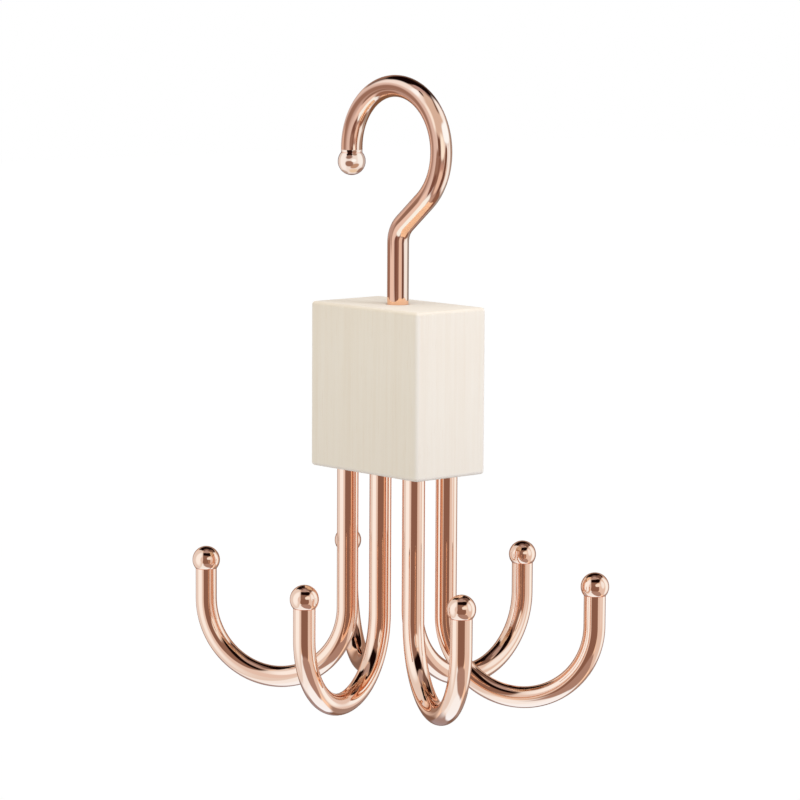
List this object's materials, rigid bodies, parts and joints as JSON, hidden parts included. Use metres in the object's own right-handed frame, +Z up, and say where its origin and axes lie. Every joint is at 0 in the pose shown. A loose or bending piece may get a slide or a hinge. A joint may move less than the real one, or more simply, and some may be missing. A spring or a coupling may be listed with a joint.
{
  "type": "belt hanger",
  "caption": "Hanger for belts: a pale wood block under a swivelling wire hook, with ball-tipped J-shaped wire hooks standing down and out from its underside.",
  "frame": {"origin": "on the swivel axis, at the inner side of the top hook's crown, where the hanger bears on its rod", "axes": "+Z up along the swivel axis; +X along the block's wide faces, with the top hook's open end towards -X; -Y is the front"},
  "size_m": [0.0968, 0.0889, 0.15],
  "materials": {
    "washed_wood": "white-washed, satin, fine upright grain",
    "rose_gold_metal": "polished rose gold plating on steel wire",
    "plain_steel": "plain drawn steel"
  },
  "bodies": {
    "hanging_hook": {"top_hook": "rose_gold_metal", "top_hook_ball": "rose_gold_metal"},
    "belt_rack": {"wood_block": "washed_wood", "swivel_pin": "plain_steel", "belt_hook_front_left": "rose_gold_metal", "belt_hook_front_middle": "rose_gold_metal", "belt_hook_front_right": "rose_gold_metal", "belt_hook_back_right": "rose_gold_metal", "belt_hook_back_middle": "rose_gold_metal", "belt_hook_back_left": "rose_gold_metal", "belt_ball_front_left": "rose_gold_metal", "belt_ball_front_middle": "rose_gold_metal", "belt_ball_front_right": "rose_gold_metal", "belt_ball_back_right": "rose_gold_metal", "belt_ball_back_middle": "rose_gold_metal", "belt_ball_back_left": "rose_gold_metal"}
  },
  "joints": [
    {"name": "swivel", "type": "hinge", "parent": "hanging_hook", "child": "belt_rack", "pos_m": [0, 0, -0.04928], "axis": [0, 0, 1], "continuous": true}
  ]
}
